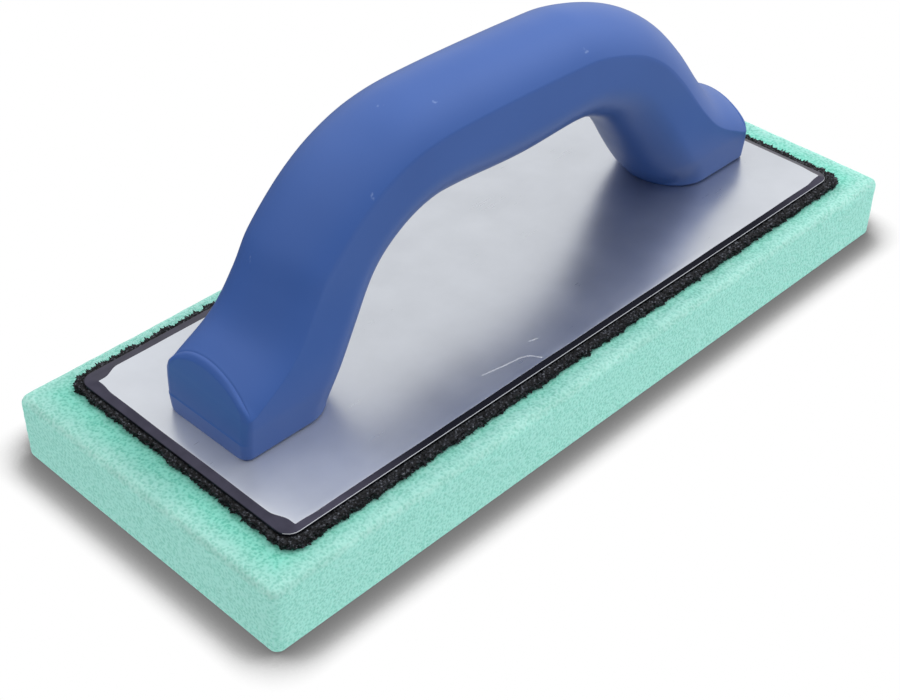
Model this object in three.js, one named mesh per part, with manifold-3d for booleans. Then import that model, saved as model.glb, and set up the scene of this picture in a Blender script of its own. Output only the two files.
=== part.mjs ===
// Grout float: a soft foam pad glued to a stiff aluminium plate, with a moulded bridge handle
// screwed on from below. Millimetres, +Z up, origin at the middle of the pad's underside,
// +X along the length of the float.
import * as THREE from 'three';
import { mergeVertices } from 'three/addons/utils/BufferGeometryUtils.js';
import Module from 'manifold-3d';

const wasm = await Module();
wasm.setup();

// ---- driving dimensions ----
const PAD = { length: 254, width: 101.6, height: 20.3, corner: 2, edge: 0.8 };
const FILM = { thickness: 0.2, corner: 3, fromEdge: 2, fromBend: 1.5 }; // each layer of contact adhesive
const BACKING = {
  length: 232,
  width: 88.6,
  height: 2.2,
  corner: 4,
  pressed: 0.7, // how much flatter its edge is, under the rim of the plate
  pressedSlope: 1.4,
  easedFoot: 0.4,
  easedTop: 0.6,
};
const PLATE = {
  offset: -0.9, // it sits a little nearer the same end as the handle
  length: 226,
  width: 82.8,
  thickness: 1,
  drop: 0.6, // how far the rim is turned down
  corner: 3.5,
  rimEnd: 2.9,
  rimSide: 1.9,
  bend: 0.4, // the bend lies this much further in on the underside
  eased: 0.2, // rounding of the sheared edge
};
const SCREW = {
  shank: 1.9,
  root: 1.4,
  length: 16,
  point: 3, // bare length at the point
  plain: 0.8, // plain shank above the plate
  head: 4.3,
  headHeight: 2,
  headEdge: 0.4,
  crown: 0.55, // radius of the head's flat crown, as a share of the head's radius
  shoulder: 0.9, // and of its shoulder
  shoulderHeight: 0.6, // height of the shoulder, as a share of the head's height
  sides: 14,
  threads: 9,
  threadRise: 0.35, // share of a thread's pitch taken by its lower flank
  recess: 1.1,
  recessWidth: 1.1,
  pocket: 1, // room round the head in the foam
};
const CLEARANCE = 0.3;
const OVERSHOOT = 1; // how far a cutter runs past the surface it opens

const HANDLE = {
  offset: -1.3, // the handle sits a little nearer one end of the plate
  half: 103.4, // from its middle to the flat end of each foot
  footHalfWidth: 16.2, // at footTop; it draws in a little below, down to the base
  baseHalfWidth: 15.5,
  gripHalfWidth: 14.4,
  crown: 9.3, // height of the domed top above the soft edge
  crownSweep: THREE.MathUtils.degToRad(71), // the dome stops short of square to the side
  under: 13.1, // depth of the rounding on the hand side
  footInner: 68.6, // from the middle to the hand side of each foot
  edge: 1.2, // rounding at the flat foot ends
  edgeStep: 0.3, // share of that rounding at its middle step
  thinnest: 0.05, // half width where a section closes
  topFall: 0.02, // fall of the top per millimetre of width, which keeps each section open
  footTop: 34, // height where the width starts to narrow
  gripStart: 62, // height where it has narrowed to the grip
};
const BOSS = { outer: 94, inner: 78, radius: 4.4, wall: 3.2, depth: 11, web: 1.2 };

// ---- heights of the layers ----
const padTop = PAD.height;
const backingBase = padTop + FILM.thickness;
const backingTop = backingBase + BACKING.height;
const plateBase = backingTop + FILM.thickness;
const plateTop = plateBase + PLATE.thickness;
const screwPlaces = [-BOSS.outer, -BOSS.inner, BOSS.inner, BOSS.outer];

// Side view of the handle, x from its middle: the line along the top from one foot's end to the
// other, and the line on the hand side from one foot to the other. It leans towards -X.
const topLine = new THREE.SplineCurve([
  [-HANDLE.half, 46.1], [-93, 52.8], [-86, 62.3], [-80, 71.8], [-68, 83.5], [-55, 91.5], [-40, 96],
  [-20, 97.1], [15, 96.5], [30, 95.2], [48, 89.6], [62, 81.2], [74, 69.6], [86, 54.9], [93, 48.3],
  [HANDLE.half, 42.9],
].map(([x, z]) => new THREE.Vector2(x, z)));
const handLine = new THREE.SplineCurve([
  [-HANDLE.footInner, plateTop], [-64, 32.5], [-58, 42.9], [-51, 53.8], [-43, 60.4], [-34, 63.9],
  [-24, 64.3], [0, 62.8], [24, 63.4], [34, 61.1], [43, 56.2], [51, 47.4], [58, 37.3],
  [64, 28.9], [HANDLE.footInner, plateTop],
].map(([x, z]) => new THREE.Vector2(x, z)));

// ---- small helpers ----
const MERGE_DISTANCE = 1e-4;
const LEVEL = 1e-6;
const CORNER_STEPS = 6;
const LEAST_CORNER = 0.5;
const POST_SIDES = 24;

function material(color, roughness, metalness = 0) {
  return new THREE.MeshStandardMaterial({ color, roughness, metalness });
}

function toSolid(geometry) {
  const bare = geometry.clone();
  bare.deleteAttribute('normal');
  bare.deleteAttribute('uv');
  const merged = mergeVertices(bare, MERGE_DISTANCE);
  return new wasm.Manifold(new wasm.Mesh({
    numProp: 3,
    vertProperties: new Float32Array(merged.attributes.position.array),
    triVerts: new Uint32Array(merged.index.array),
  }));
}

function toGeometry(solid) {
  const mesh = solid.getMesh();
  const geometry = new THREE.BufferGeometry();
  geometry.setAttribute('position', new THREE.BufferAttribute(mesh.vertProperties, 3));
  geometry.setIndex(new THREE.BufferAttribute(mesh.triVerts, 1));
  geometry.computeVertexNormals();
  return geometry;
}

function cut(geometry, cutters) {
  let solid = toSolid(geometry);
  for (const cutter of cutters) solid = solid.subtract(toSolid(cutter));
  return toGeometry(solid);
}

function roundedRectangle(length, width, radius) {
  const shape = new THREE.Shape();
  const x = length / 2 - radius;
  const y = width / 2 - radius;
  shape.absarc(x, -y, radius, -Math.PI / 2, 0);
  shape.absarc(x, y, radius, 0, Math.PI / 2);
  shape.absarc(-x, y, radius, Math.PI / 2, Math.PI);
  shape.absarc(-x, -y, radius, Math.PI, 1.5 * Math.PI);
  return shape.getPoints(CORNER_STEPS);
}

// A closed solid through rings that all have the same number of points.
function loft(rings) {
  const count = rings[0].length;
  const positions = rings.flat().flatMap((point) => [point.x, point.y, point.z]);
  const index = [];
  for (let r = 0; r + 1 < rings.length; r += 1) {
    for (let i = 0; i < count; i += 1) {
      const a = r * count + i;
      const b = r * count + ((i + 1) % count);
      index.push(a, b, b + count, a, b + count, a + count);
    }
  }
  const last = (rings.length - 1) * count;
  const cap = (ring, start, flip) => {
    const u = flatCoordinates(ring);
    for (const [a, b, c] of THREE.ShapeUtils.triangulateShape(u, [])) {
      index.push(start + a, start + (flip ? c : b), start + (flip ? b : c));
    }
  };
  cap(rings[0], 0, true);
  cap(rings.at(-1), last, false);
  const geometry = new THREE.BufferGeometry();
  geometry.setAttribute('position', new THREE.Float32BufferAttribute(positions, 3));
  geometry.setIndex(index);
  geometry.computeVertexNormals();
  return geometry;
}

// A flat ring seen square on, so that it can be triangulated.
function flatCoordinates(ring) {
  const level = ring.every((point) => Math.abs(point.z - ring[0].z) < LEVEL);
  const across = (point) => (level ? [point.x, point.y] : [point.y, point.z]);
  return ring.map((point) => new THREE.Vector2(...across(point)));
}

// A rounded rectangle at each height, from the bottom up; inset may differ at the ends and sides.
function slab(size, levels) {
  return loft(levels.map(({ z, end = 0, side = end }) => {
    const radius = Math.max(size.corner - Math.min(end, side), LEAST_CORNER);
    return roundedRectangle(size.length - 2 * end, size.width - 2 * side, radius)
      .map((point) => new THREE.Vector3(point.x, point.y, z));
  }));
}

function post(radius, height, x, z) {
  return new THREE.CylinderGeometry(radius, radius, height, POST_SIDES)
    .rotateX(Math.PI / 2)
    .translate(x, 0, z + height / 2);
}

// ---- pad, adhesive films and backing foam ----
function makePad() {
  const { height, edge } = PAD;
  return slab(PAD, [{ z: 0, end: edge }, { z: edge }, { z: height - edge }, { z: height, end: edge }]);
}

function makeFilm(length, width, base, holes) {
  const sheet = slab({ length, width, corner: FILM.corner }, [{ z: base }, { z: base + FILM.thickness }]);
  return holes ? cut(sheet, headPockets(base, FILM.thickness)) : sheet;
}

// Round openings around the screw heads, through whatever lies under the plate.
function headPockets(base, height) {
  return screwPlaces.map((x) => (
    post(SCREW.head + SCREW.pocket, height + 2 * OVERSHOOT, HANDLE.offset + x, base - OVERSHOOT)
  ));
}

// The turned-down rim of the plate presses the edge of this layer flatter than its middle.
function makeBackingFoam() {
  const beyondEnd = (BACKING.length - PLATE.length) / 2 - PLATE.offset + BACKING.pressedSlope;
  const beyondSide = (BACKING.width - PLATE.width) / 2 + BACKING.pressedSlope;
  const pressedTop = backingTop - BACKING.pressed;
  const layer = slab(BACKING, [
    { z: backingBase, end: BACKING.easedFoot },
    { z: backingBase + BACKING.height / 2 },
    { z: pressedTop, end: BACKING.easedTop },
    { z: pressedTop, end: beyondEnd, side: beyondSide },
    { z: backingTop, end: beyondEnd + PLATE.rimEnd, side: beyondSide + PLATE.rimSide },
  ]);
  return cut(layer, headPockets(backingBase, BACKING.height));
}

// ---- aluminium plate ----
// A flat sheet whose outer few millimetres are turned down, with a hole for each screw.
function makePlate() {
  const { rimEnd: end, rimSide: side, drop, bend, eased } = PLATE;
  const sheet = slab(PLATE, [
    { z: plateBase, end: end + bend, side: side + bend },
    { z: plateBase - drop, end: eased },
    { z: plateTop - drop - eased },
    { z: plateTop - drop, end: eased },
    { z: plateTop, end, side },
  ]);
  const holes = screwPlaces.map((x) => {
    const place = HANDLE.offset + x - PLATE.offset;
    return post(SCREW.shank + CLEARANCE, PLATE.thickness + 2 * OVERSHOOT, place, plateBase - OVERSHOOT);
  });
  return cut(sheet, holes);
}

// ---- handle ----
const LINE_SAMPLES = 240;
const handSamples = handLine.getSpacedPoints(LINE_SAMPLES);
const topSamples = topLine.getSpacedPoints(LINE_SAMPLES);

function distanceTo(samples, point) {
  return Math.min(...samples.map((sample) => sample.distanceTo(point)));
}

// Half the handle's width at a place in its side view: flat sides that narrow from the feet to
// the grip, a dome along the top line and a round along the hand line.
function halfWidthAt(point) {
  const { footTop, crown, crownSweep, under } = HANDLE;
  const narrowing = THREE.MathUtils.smoothstep(point.y, footTop, HANDLE.gripStart);
  const drawnIn = Math.max(footTop - point.y, 0) / (footTop - plateTop);
  const full = THREE.MathUtils.lerp(HANDLE.footHalfWidth, HANDLE.gripHalfWidth, narrowing)
    - drawnIn * (HANDLE.footHalfWidth - HANDLE.baseHalfWidth);
  const fromTop = Math.min(distanceTo(topSamples, point) / crown, 1);
  const angle = Math.acos(1 - fromTop * (1 - Math.cos(crownSweep)));
  const dome = Math.sin(angle) / Math.sin(crownSweep);
  const fromHand = Math.min(distanceTo(handSamples, point) / under, 1);
  return full * dome * Math.sqrt(1 - (1 - fromHand) ** 2);
}

// Where section number t (0 to 1 along the handle) meets the underside: along one foot's base,
// up and over the hand line, and along the other base.
const FOOT_SHARE = 0.2;
function lowerEnd(t) {
  const fromNearerEnd = Math.min(t, 1 - t);
  if (fromNearerEnd < FOOT_SHARE) {
    const x = THREE.MathUtils.lerp(HANDLE.half, HANDLE.footInner, fromNearerEnd / FOOT_SHARE);
    return new THREE.Vector2(t < FOOT_SHARE ? -x : x, plateTop);
  }
  return handLine.getPointAt(Math.min((t - FOOT_SHARE) / (1 - 2 * FOOT_SHARE), 1));
}

// Places along one section, as shares of the way from the top line to the underside.
const DOME_STEPS = 6;
const LOWER_STEPS = 7;
const DEEPEST_DOME = 0.5; // most of a section that the dome may take
const CLOSING_STEP = 0.5; // the last step on the hand side is left to the closing point
function sectionShares(length, rounded) {
  const { crown, crownSweep, under } = HANDLE;
  const domeShare = Math.min(crown / length, DEEPEST_DOME);
  const shares = [];
  for (let k = 1; k <= DOME_STEPS; k += 1) {
    const angle = (crownSweep * k) / DOME_STEPS;
    shares.push((domeShare * (1 - Math.cos(angle))) / (1 - Math.cos(crownSweep)));
  }
  const roundShare = Math.min(under / length, 1 - domeShare);
  for (let k = 1; k <= LOWER_STEPS; k += 1) {
    const straight = domeShare + ((1 - domeShare) * k) / LOWER_STEPS;
    const angle = (Math.PI / 2) * (k / (LOWER_STEPS + CLOSING_STEP));
    const round = 1 - roundShare * (1 - Math.sin(angle));
    shares.push(THREE.MathUtils.lerp(straight, round, rounded));
  }
  return shares;
}

function handleSection(t, shrink) {
  const top = topLine.getPointAt(t);
  const bottom = lowerEnd(t);
  const rounded = Math.min(Math.min(t, 1 - t) / FOOT_SHARE, 1);
  const middle = new THREE.Vector2();
  const side = sectionShares(top.distanceTo(bottom), rounded).map((share) => {
    middle.lerpVectors(top, bottom, share);
    const y = Math.max(halfWidthAt(middle) - shrink, HANDLE.thinnest);
    return new THREE.Vector3(middle.x, y, Math.min(middle.y, top.y - shrink - HANDLE.topFall * y));
  });
  return [
    new THREE.Vector3(top.x, 0, top.y - shrink),
    ...side.map(({ x, y, z }) => new THREE.Vector3(x, -y, z)),
    new THREE.Vector3(bottom.x, 0, bottom.y),
    ...side.reverse(),
  ];
}

// The section at a flat end, moved in from it by along and drawn in by shrink.
function endSection(t, along, shrink) {
  return handleSection(t, shrink).map((point) => point.setX(Math.sign(point.x) * (HANDLE.half - along)));
}

function handleBody() {
  const sections = 60;
  const { edge, edgeStep } = HANDLE;
  const rounding = [[0, edge], [edge * edgeStep, edge * edgeStep], [edge, 0]];
  const rings = rounding.map(([along, shrink]) => endSection(0, along, shrink));
  for (let i = 1; i < sections; i += 1) rings.push(handleSection(i / sections, 0));
  rings.push(...rounding.reverse().map(([along, shrink]) => endSection(1, along, shrink)));
  return loft(rings);
}

// The hollow moulded up into one foot, which leaves a wall, two screw bosses and their webs.
function footHollow(direction) {
  const { wall, depth, radius, web, inner, outer } = BOSS;
  const halfWidth = HANDLE.baseHalfWidth - wall;
  const middle = HANDLE.footInner + HANDLE.baseHalfWidth;
  const outline = new THREE.Shape();
  outline.moveTo(HANDLE.half - wall, -halfWidth);
  outline.lineTo(HANDLE.half - wall, halfWidth);
  outline.absarc(middle, 0, halfWidth, Math.PI / 2, 1.5 * Math.PI);
  const settings = { depth: depth + OVERSHOOT, bevelEnabled: false, curveSegments: 12 };
  const hollow = new THREE.ExtrudeGeometry(outline, settings).translate(0, 0, plateTop - OVERSHOOT);
  const tall = depth + 4 * OVERSHOOT;
  const midHeight = plateTop + depth / 2;
  let solid = toSolid(hollow);
  for (const x of [inner, outer]) {
    solid = solid.subtract(toSolid(post(radius, tall, x, plateTop - 2 * OVERSHOOT)));
    const cross = new THREE.BoxGeometry(2 * web, 4 * halfWidth, tall).translate(x, 0, midHeight);
    solid = solid.subtract(toSolid(cross));
  }
  const spine = new THREE.BoxGeometry(2 * HANDLE.half, 2 * web, tall).translate(0, 0, midHeight);
  solid = solid.subtract(toSolid(spine));
  return direction > 0 ? solid : solid.rotate([0, 0, 180]);
}

function makeHandle() {
  let solid = toSolid(handleBody());
  for (const direction of [-1, 1]) solid = solid.subtract(footHollow(direction));
  const boreDepth = SCREW.length + OVERSHOOT;
  for (const x of screwPlaces) {
    const bore = post(SCREW.shank + CLEARANCE, boreDepth + OVERSHOOT, x, plateTop - OVERSHOOT);
    solid = solid.subtract(toSolid(bore));
  }
  return toGeometry(solid);
}

// ---- screw ----
// A self-tapping screw, head down: low domed head against the plate's underside, ridged shank
// pointing up. A turned profile about the Z axis, from the bottom of the head to the point.
function makeScrew() {
  const { shank, root, length, head, headHeight, headEdge, threads, threadRise } = SCREW;
  const crownRadius = head * SCREW.crown;
  const shoulder = [head * SCREW.shoulder, -headHeight * SCREW.shoulderHeight];
  const start = PLATE.thickness + SCREW.plain;
  const pitch = (length - SCREW.point - start) / threads;
  const profile = [[0, -headHeight], [crownRadius, -headHeight], shoulder, [head, -headEdge], [head, 0]];
  profile.push([shank, 0], [shank, start]);
  for (let k = 0; k < threads; k += 1) {
    const z = start + k * pitch;
    profile.push([root, z + pitch * threadRise], [shank, z + pitch]);
  }
  profile.push([0, length]);
  const outline = profile.map(([radius, height]) => new THREE.Vector2(radius, height));
  const turned = new THREE.LatheGeometry(outline, SCREW.sides).rotateX(Math.PI / 2);
  const slots = [0, Math.PI / 2].map((turn) => (
    new THREE.BoxGeometry(head, SCREW.recessWidth, 2 * SCREW.recess)
      .rotateZ(turn)
      .translate(0, 0, -headHeight)
  ));
  return cut(turned, slots);
}

// ---- assembly ----
const group = new THREE.Group();

function add(name, geometry, finish, x = 0, z = 0) {
  const mesh = new THREE.Mesh(geometry, finish);
  mesh.name = name;
  mesh.position.set(x, 0, z);
  group.add(mesh);
}

const padFilmLength = BACKING.length - 2 * FILM.fromEdge;
const padFilmWidth = BACKING.width - 2 * FILM.fromEdge;
const plateFilmLength = PLATE.length - 2 * (PLATE.rimEnd + FILM.fromBend);
const plateFilmWidth = PLATE.width - 2 * (PLATE.rimSide + FILM.fromBend);
const padFilm = makeFilm(padFilmLength, padFilmWidth, padTop, false);
const plateFilm = makeFilm(plateFilmLength, plateFilmWidth, backingTop, true);
const amber = 0xd8cfa8;

add('foam_pad', makePad(), material(0x87d7c3, 0.95));
add('pad_adhesive_film', padFilm, material(amber, 0.6));
add('backing_foam', makeBackingFoam(), material(0x15151a, 1));
add('plate_adhesive_film', plateFilm, material(amber, 0.6));
add('backing_plate', makePlate(), material(0xcdd0da, 0.35, 1), PLATE.offset);
add('handle', makeHandle(), material(0x4664a5, 0.42), HANDLE.offset);
screwPlaces.forEach((x, i) => {
  add(`handle_screw_${i + 1}`, makeScrew(), material(0xb9bcc0, 0.3, 1), HANDLE.offset + x, plateBase);
});

export default group;
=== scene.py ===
import math
import random

import bpy
from mathutils import Matrix, Vector, geometry, kdtree, noise


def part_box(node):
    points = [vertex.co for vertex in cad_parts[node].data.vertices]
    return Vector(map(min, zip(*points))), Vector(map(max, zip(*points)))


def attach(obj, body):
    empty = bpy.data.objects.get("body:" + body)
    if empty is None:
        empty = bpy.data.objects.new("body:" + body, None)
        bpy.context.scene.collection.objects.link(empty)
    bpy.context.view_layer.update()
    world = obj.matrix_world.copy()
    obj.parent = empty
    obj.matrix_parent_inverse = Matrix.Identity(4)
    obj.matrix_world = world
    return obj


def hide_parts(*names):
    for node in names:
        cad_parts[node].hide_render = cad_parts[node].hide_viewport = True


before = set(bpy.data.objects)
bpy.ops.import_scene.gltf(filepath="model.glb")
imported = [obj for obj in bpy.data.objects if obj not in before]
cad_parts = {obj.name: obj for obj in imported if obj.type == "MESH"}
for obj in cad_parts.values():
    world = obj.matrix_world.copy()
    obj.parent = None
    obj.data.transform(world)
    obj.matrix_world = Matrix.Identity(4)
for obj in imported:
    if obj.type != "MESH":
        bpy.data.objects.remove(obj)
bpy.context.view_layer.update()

MM = 0.001

# ---- heights of the layers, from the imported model, in millimetres ----
pad_low, pad_high = (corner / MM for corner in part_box("foam_pad"))
foam_low, foam_high = (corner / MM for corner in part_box("backing_foam"))
plate_low, plate_high = (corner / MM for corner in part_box("backing_plate"))
plate_top = plate_high.z

# ---- foam pad, in millimetres ----
PAD = {
    "edge": 2.6,  # rounding of the upper and upright edges, which are soft rather than sharp
    "foot_edge": 0.9,  # rounding round the underside
    "step": 1.0,  # spacing of the grid that the pores are pressed into
    "wave": 0.35,  # how far the long cut faces wander
    "wave_length": 45.0,
    "pore": 0.13,  # roughness of the cut faces
    "pore_length": 1.6,
    "flat_foot": (0.3, 1.5),  # heights between which the wander and the pores set in
    "corner_zone": 0.1,  # how near an edge's end is to the top or the underside to count as there
}

# ---- black backing foam, in millimetres ----
BACKING = {
    "corner": 5.0,
    "step": 0.26,  # spacing of the points round the edge
    "cover": 4.4,  # how far in from the edge the coarse surface runs, under the plate
    "cell": 0.9,  # size of one open cell
    "pit": 0.75,  # depth of a cell
    "ragged": 0.7,  # wander of the torn edge
    "ragged_lengths": (2.3, 0.8),
    "tooth": 1.1,  # longest strut left standing at the edge
    "tooth_share": 0.2,
    "sink": 0.7,  # how far the rim lies below the plate's underside before its cells rise from it
    "inset": 0.55,  # how far the side is drawn in, so that its struts reach the cut size
    "fade": (1.5, 1.2),  # reach of the coarse surface under the plate, and of the side's raggedness
}

# ---- aluminium plate, in millimetres ----
PLATE = {
    "shift": Vector((0.0, 0.2, 0.0)),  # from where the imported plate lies
    "corner": 4.0,
    "drop": 0.75,  # how far the rim is turned down
    "rim_end": 2.4,
    "rim_near": 1.5,
    "rim_far": 3.1,
    "lip": 0.18,  # rounding of the sheared edge
    "thickness": 1.0,
    "pull_reach": 10.0,  # distance from a corner over which the bend line closes up
    "pull_edge": (2.0, 8.0),  # distances between which the pull towards the middle fades
    "wander": (0.12, 14.0),  # depth and length of the bend line's unevenness
    "outline_step": 0.8,
}
# How far the bend line is pulled in where two bends meet, at the long and the short side.
PULLED_IN = {(-1, -1): (0.3, 1.7), (-1, 1): (2.0, 0.6), (1, -1): (0.7, 0.5), (1, 1): (1.2, 0.8)}

# ---- handle, in millimetres, x from its own middle ----
HANDLE = {
    "offset": -1.3,  # of its middle from the pad's
    "half": 103.4,
    "foot_half_width": 16.2,
    "base_half_width": 15.5,
    "grip_half_width": 14.4,
    "crown": 9.3,  # height of the domed top above the parting edge
    "crown_sweep": math.radians(71),
    "under": 13.1,  # depth of the rounding on the hand side
    "foot_inner": 68.6,
    "foot_top": 34.0,
    "grip_start": 62.0,
    "foot_share": 0.2,  # share of the sections that end on one foot's base
    "toe_edge": (1.1, 2.6),  # rounding round the flat end of each foot: over the dome, down the sides
    "toe_lean": 0.9,  # how far the top of the flat end leans back
    "witness": 29.4,  # height of the line across the flat end
    "witness_step": 0.16,
    "witness_draft": 0.35,
    "groove": 1.9,  # distance of the fine groove from the flat end
    "groove_depth": 0.16,
    "groove_width": 0.2,
    "base_edge": 1.0,  # rounding round the base of each foot
}
TOP_LINE = [
    (-103.4, 46.1), (-93, 52.8), (-86, 62.3), (-80, 71.8), (-68, 83.5), (-55, 91.5), (-40, 96),
    (-20, 97.1), (15, 96.5), (30, 95.2), (48, 89.6), (62, 81.2), (74, 69.6), (86, 54.9), (93, 48.3),
    (103.4, 42.9),
]
HAND_LINE = [
    (-68.6, plate_top), (-64, 32.5), (-58, 42.9), (-51, 53.8), (-43, 60.4), (-34, 63.9), (-24, 64.3),
    (0, 62.8), (24, 63.4), (34, 61.1), (43, 56.2), (51, 47.4), (58, 37.3), (64, 28.9),
    (68.6, plate_top),
]

# Places where the handle has been rubbed, on the whole float, in millimetres.
RUBS = [
    Vector((-59.0, -13.8, 81.2)),
    Vector((-44.6, -1.9, 95.3)),
    Vector((-32.3, -8.6, 94.5)),
    Vector((20.5, -12.6, 90.2)),
    Vector((-84.4, 3.5, 66.5)),
]
RUB_FADE = (0.6, 3.2)  # distances from such a place between which its ticks fade out
# Scratches on the plate, each as straight lengths from point to point.
SCRATCHES = [
    [(-37.5, -32.2), (-30.1, -33.6), (-25.0, -34.3), (-22.3, -35.6), (-20.7, -38.2)],
    [(-17.8, -31.2), (-15.3, -31.9)],
]
SCRATCH_FADE = (0.05, 0.3)  # half the width of a scratch: where it is whole and where it ends
NEAR_END_PAINTED_LIGHT = {"from": -100, "to": -50}  # x between which the plate's lowered metallic, painted light on its -X end, fades out
# Where the rim's painted dark reflection lies: across its -Y side, and along it from a middle point.
PAINTED_REFLECTION_ZONE = {"side": (-38.8, -39.6), "middle": 5, "reach": (65, 112)}
# How far in from the sides the pad's top is paled by a painted highlight, and how far down its edge the top's
# colour runs before the sides' painted light takes over.
PAINTED_PAD_LIGHT = {"from": 1.5, "to": 10.5, "edge": (3, 0.6)}

# ---- camera and light ----
CAMERA = {
    "azimuth": math.radians(-46.622),
    "elevation": math.radians(38.449),
    "roll": math.radians(1.232),
    "target": Vector((-10.17, 5.57, -4.49)),
    "distance": 483.6,
    "lens": 65.131,
}
# Brightness of the room, as (cosine of the angle from an axis, brightness) pairs. Light falls on the float
# from above, and up off the pale paper below it. What its glossy surfaces mirror is brightest above and
# to the right, and again steeply below, where the paper lies.
ROOM_LIGHT_AXIS = (0.15, 0.22, 0.96)
ROOM_LIGHT = [(-1.0, 1.5), (-0.5, 0.85), (-0.2, 0.2), (-0.05, 0.35), (0.1, 0.76), (1.0, 1.3)]
ROOM_MIRRORED_AXIS = (0.6, 0.0, 0.8)
ROOM_MIRRORED = [(-0.2, 0.04), (0.1, 0.28), (0.35, 0.62), (0.52, 0.86), (0.86, 0.9), (1.0, 1.2)]
PAPER_MIRRORED_AXIS = (0.0, 0.0, -1.0)
PAPER_MIRRORED = [(0.4, 0.0), (0.7, 0.65)]
# Painted shadow on the glowing paper: its brightness by how much of the sky is open within PAPER_REACH of it,
# in millimetres.
PAPER_REACH = 12
PAPER_SHADE = [(0.45, 0.18), (0.6, 0.22), (0.7, 0.28), (0.8, 0.45), (0.9, 0.78), (0.975, 0.95), (1.0, 1.0)]
FLOOR_SIZE = 6  # metres
FLOOR_DROP = 0.05  # millimetres below the pad, so that the two faces never share a plane


# ---- small tools ----
def linear(code):
    """An sRGB hex colour as the linear colour that a shader takes."""
    values = [int(code[i : i + 2], 16) / 255 for i in (1, 3, 5)]
    return tuple(v / 12.92 if v <= 0.04045 else ((v + 0.055) / 1.055) ** 2.4 for v in values) + (1.0,)


def grey(value):
    return (value, value, value, 1.0)


def node(tree, kind, sockets=(), stops=(), **settings):
    """One node with its settings and links.

    sockets maps an input to a value or to the output that feeds it; stops are a colour ramp's
    (place, colour) pairs.
    """
    made = tree.nodes.new(kind)
    for name, value in settings.items():
        setattr(made, name, value)
    for key, value in dict(sockets).items():
        if isinstance(value, bpy.types.NodeSocket):
            tree.links.new(value, made.inputs[key])
        else:
            made.inputs[key].default_value = value
    if stops:
        elements = made.color_ramp.elements
        while len(elements) < len(stops):
            elements.new(0.5)
        for element, (place, colour) in zip(elements, stops):
            element.position = place
            element.color = colour
    return made


def least(tree, values):
    """The smallest of several shader values."""
    smallest = values[0]
    for value in values[1:]:
        smallest = node(tree, "ShaderNodeMath", {0: smallest, 1: value}, operation="MINIMUM").outputs[0]
    return smallest


def new_material(name):
    """An empty material: its node tree, its shader and its Object coordinates."""
    made = bpy.data.materials.new(name)
    made.use_nodes = True
    tree = made.node_tree
    shader = tree.nodes["Principled BSDF"]
    place = node(tree, "ShaderNodeTexCoord").outputs["Object"]
    return made, tree, shader, place


def per_mm(size):
    """Texture scale for a pattern that repeats every size millimetres."""
    return 1 / (size * MM)


def smooth(low, high, value):
    """0 below low, 1 above high, and an even S-curve between them."""
    share = min(max((value - low) / (high - low), 0.0), 1.0)
    return share * share * (3 - 2 * share)


def mix(a, b, share):
    """The value a share of the way from a to b."""
    return a + (b - a) * share


def only(piece):
    """Makes piece the one selected and active object."""
    bpy.ops.object.select_all(action="DESELECT")
    piece.select_set(True)
    bpy.context.view_layer.objects.active = piece


def place_piece(piece, material, replaced):
    """Gives piece its material or materials, attaches it to the root body, and hides the imported part it
    replaces.
    """
    piece.data.materials.clear()
    for one in material if isinstance(material, list) else [material]:
        piece.data.materials.append(one)
    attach(piece, "root")
    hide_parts(replaced)


def mesh_piece(name, points, faces, angle):
    """A piece from points in millimetres and faces, with its normals out."""
    data = bpy.data.meshes.new(name)
    data.from_pydata([point * MM for point in points], [], faces)
    data.update()
    piece = bpy.data.objects.new(name, data)
    bpy.context.scene.collection.objects.link(piece)
    only(piece)
    bpy.ops.object.mode_set(mode="EDIT")
    bpy.ops.mesh.select_all(action="SELECT")
    bpy.ops.mesh.normals_make_consistent(inside=False)
    bpy.ops.object.mode_set(mode="OBJECT")
    bpy.ops.object.shade_smooth_by_angle(angle=math.radians(angle))
    return piece


def band_faces(rings, count):
    """The faces between neighbouring rings of count points each."""
    return [
        (r * count + i, r * count + (i + 1) % count, (r + 1) * count + (i + 1) % count, (r + 1) * count + i)
        for r in range(rings - 1)
        for i in range(count)
    ]


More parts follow.
